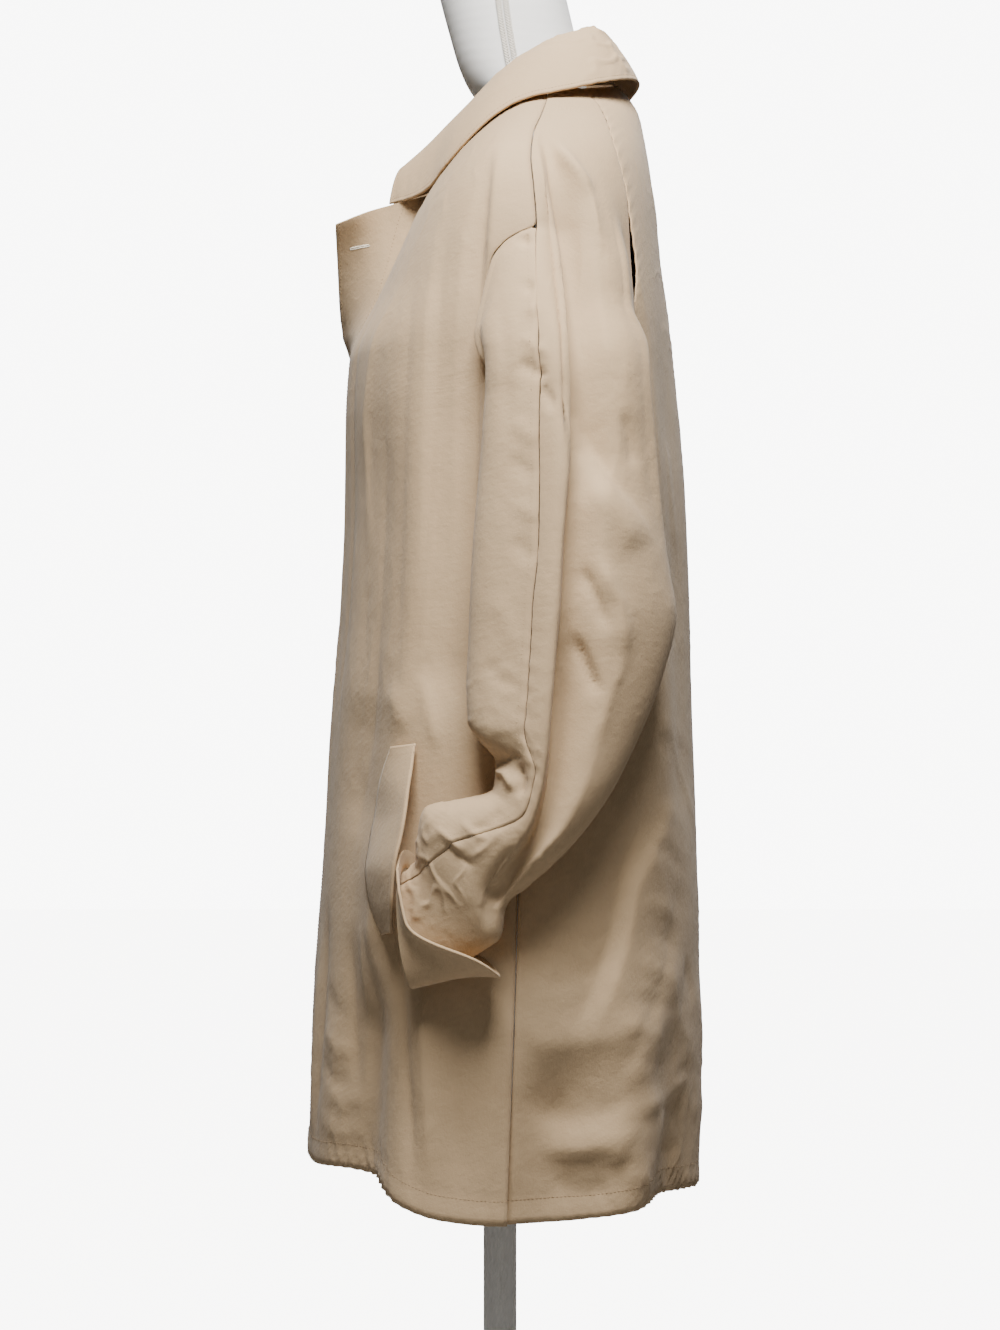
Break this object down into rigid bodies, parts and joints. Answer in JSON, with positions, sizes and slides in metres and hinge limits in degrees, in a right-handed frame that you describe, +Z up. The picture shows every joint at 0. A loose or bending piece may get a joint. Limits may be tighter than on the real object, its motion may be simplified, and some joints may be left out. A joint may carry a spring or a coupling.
{
  "type": "car coat on a limbless dress form",
  "caption": "Thigh-length cotton car coat with a turned-down collar and raglan-backed sleeves tucked into slanted pockets, hung on a limbless dress form.",
  "frame": {"origin": "on the floor under the middle of the stand's round plate", "axes": "+Z up, -Y the way the coat's front faces, +X towards the wearer's left"},
  "size_m": [0.6722, 0.352, 1.4456],
  "materials": {
    "coat_cotton": "beige cotton poplin",
    "button": "brown, satin",
    "form_cover": "off-white jersey cover",
    "stand_metal": "off-white, satin"
  },
  "bodies": {
    "root": {"front_left": "coat_cotton", "front_right": "coat_cotton", "back": "coat_cotton", "sleeve_front_left": "coat_cotton", "sleeve_front_right": "coat_cotton", "sleeve_back_left": "coat_cotton", "sleeve_back_right": "coat_cotton", "cuff_left": "coat_cotton", "cuff_right": "coat_cotton", "pocket_welt_left": "coat_cotton", "pocket_welt_right": "coat_cotton", "collar_stand": "coat_cotton", "collar_leaf": "coat_cotton", "top_button": "button", "form_torso": "form_cover", "form_neck_plate": "form_cover", "form_pole": "stand_metal", "form_base": "stand_metal"}
  },
  "joints": []
}
